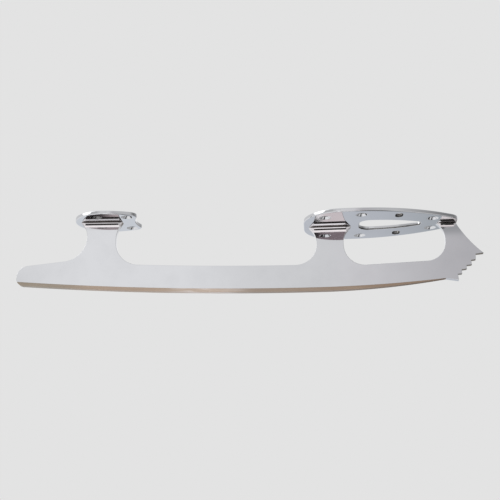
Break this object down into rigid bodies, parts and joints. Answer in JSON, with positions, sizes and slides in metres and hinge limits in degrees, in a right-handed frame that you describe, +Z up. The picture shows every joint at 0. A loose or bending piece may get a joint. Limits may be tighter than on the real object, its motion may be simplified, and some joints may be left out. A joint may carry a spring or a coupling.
{
  "type": "figure skate blade",
  "caption": "Figure skate blade: a rockered, hollow-ground steel runner with toe picks, brazed to a heel plate and a sole plate that screw to a boot.",
  "frame": {"origin": "where the middle of the runner's edge meets level ice, at the lowest point of the rocker", "axes": "+X along the runner to the toe, +Y to the skater's left, +Z up to the boot"},
  "size_m": [0.3106, 0.0636, 0.0524],
  "materials": {
    "runner": "polished plating, ground bare along the edge",
    "plates": "polished plating",
    "braze": "plated over, slightly uneven"
  },
  "bodies": {
    "root": {"runner": "runner", "heel_plate": "plates", "sole_plate": "plates", "heel_braze_left": "braze", "heel_braze_right": "braze", "sole_braze_left": "braze", "sole_braze_right": "braze", "toe_braze_left": "braze", "toe_braze_right": "braze"}
  },
  "joints": []
}
